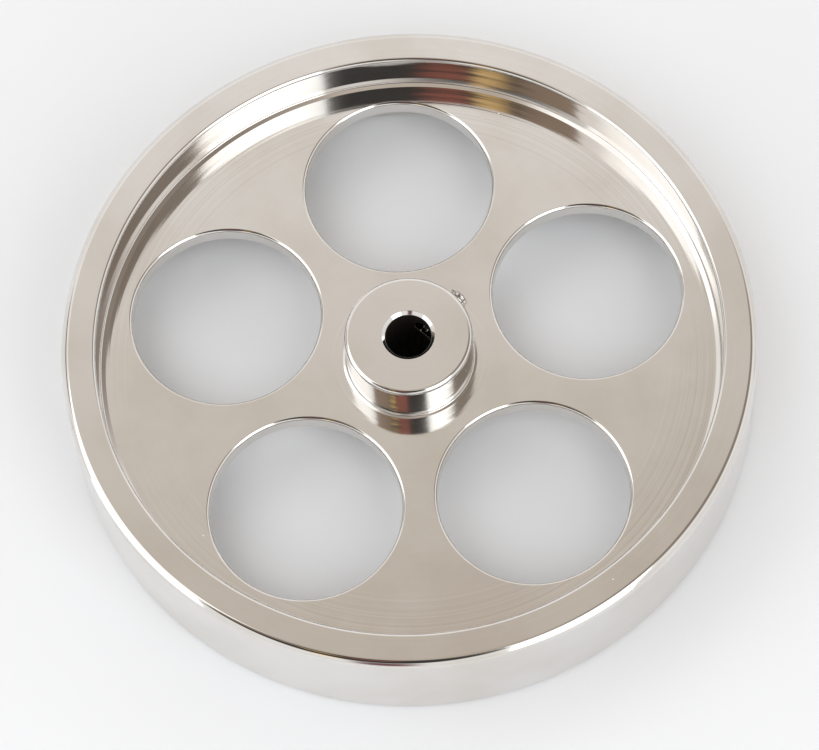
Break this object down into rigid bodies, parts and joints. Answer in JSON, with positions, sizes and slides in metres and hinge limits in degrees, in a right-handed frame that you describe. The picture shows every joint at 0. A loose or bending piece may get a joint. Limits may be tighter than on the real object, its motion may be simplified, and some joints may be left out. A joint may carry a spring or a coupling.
{
  "type": "flywheel with set screw hub",
  "caption": "Bright metal flywheel with a heavy plain rim, a thin web with round lightening openings, and a bored hub clamped to its shaft by a radial set screw.",
  "frame": {"origin": "on the wheel's axis, at the height of the rim's lower face", "axes": "+Z along the wheel's axis, towards the end of the hub that stands above the rim; +Y through the centre of the first web opening"},
  "size_m": [0.12, 0.12, 0.022],
  "materials": {
    "bright_nickel": "bright nickel plate over a fine turned surface",
    "screw_steel": "plain machined steel"
  },
  "bodies": {
    "wheel": {"rim": "bright_nickel", "web_disc": "bright_nickel", "hub": "bright_nickel"},
    "set_screw": {"set_screw": "screw_steel"}
  },
  "joints": [
    {"name": "set_screw_travel", "type": "slide", "parent": "wheel", "child": "set_screw", "axis": [0.7314, 0.682, 0], "range_m": [-0.0029, 0.003]}
  ]
}
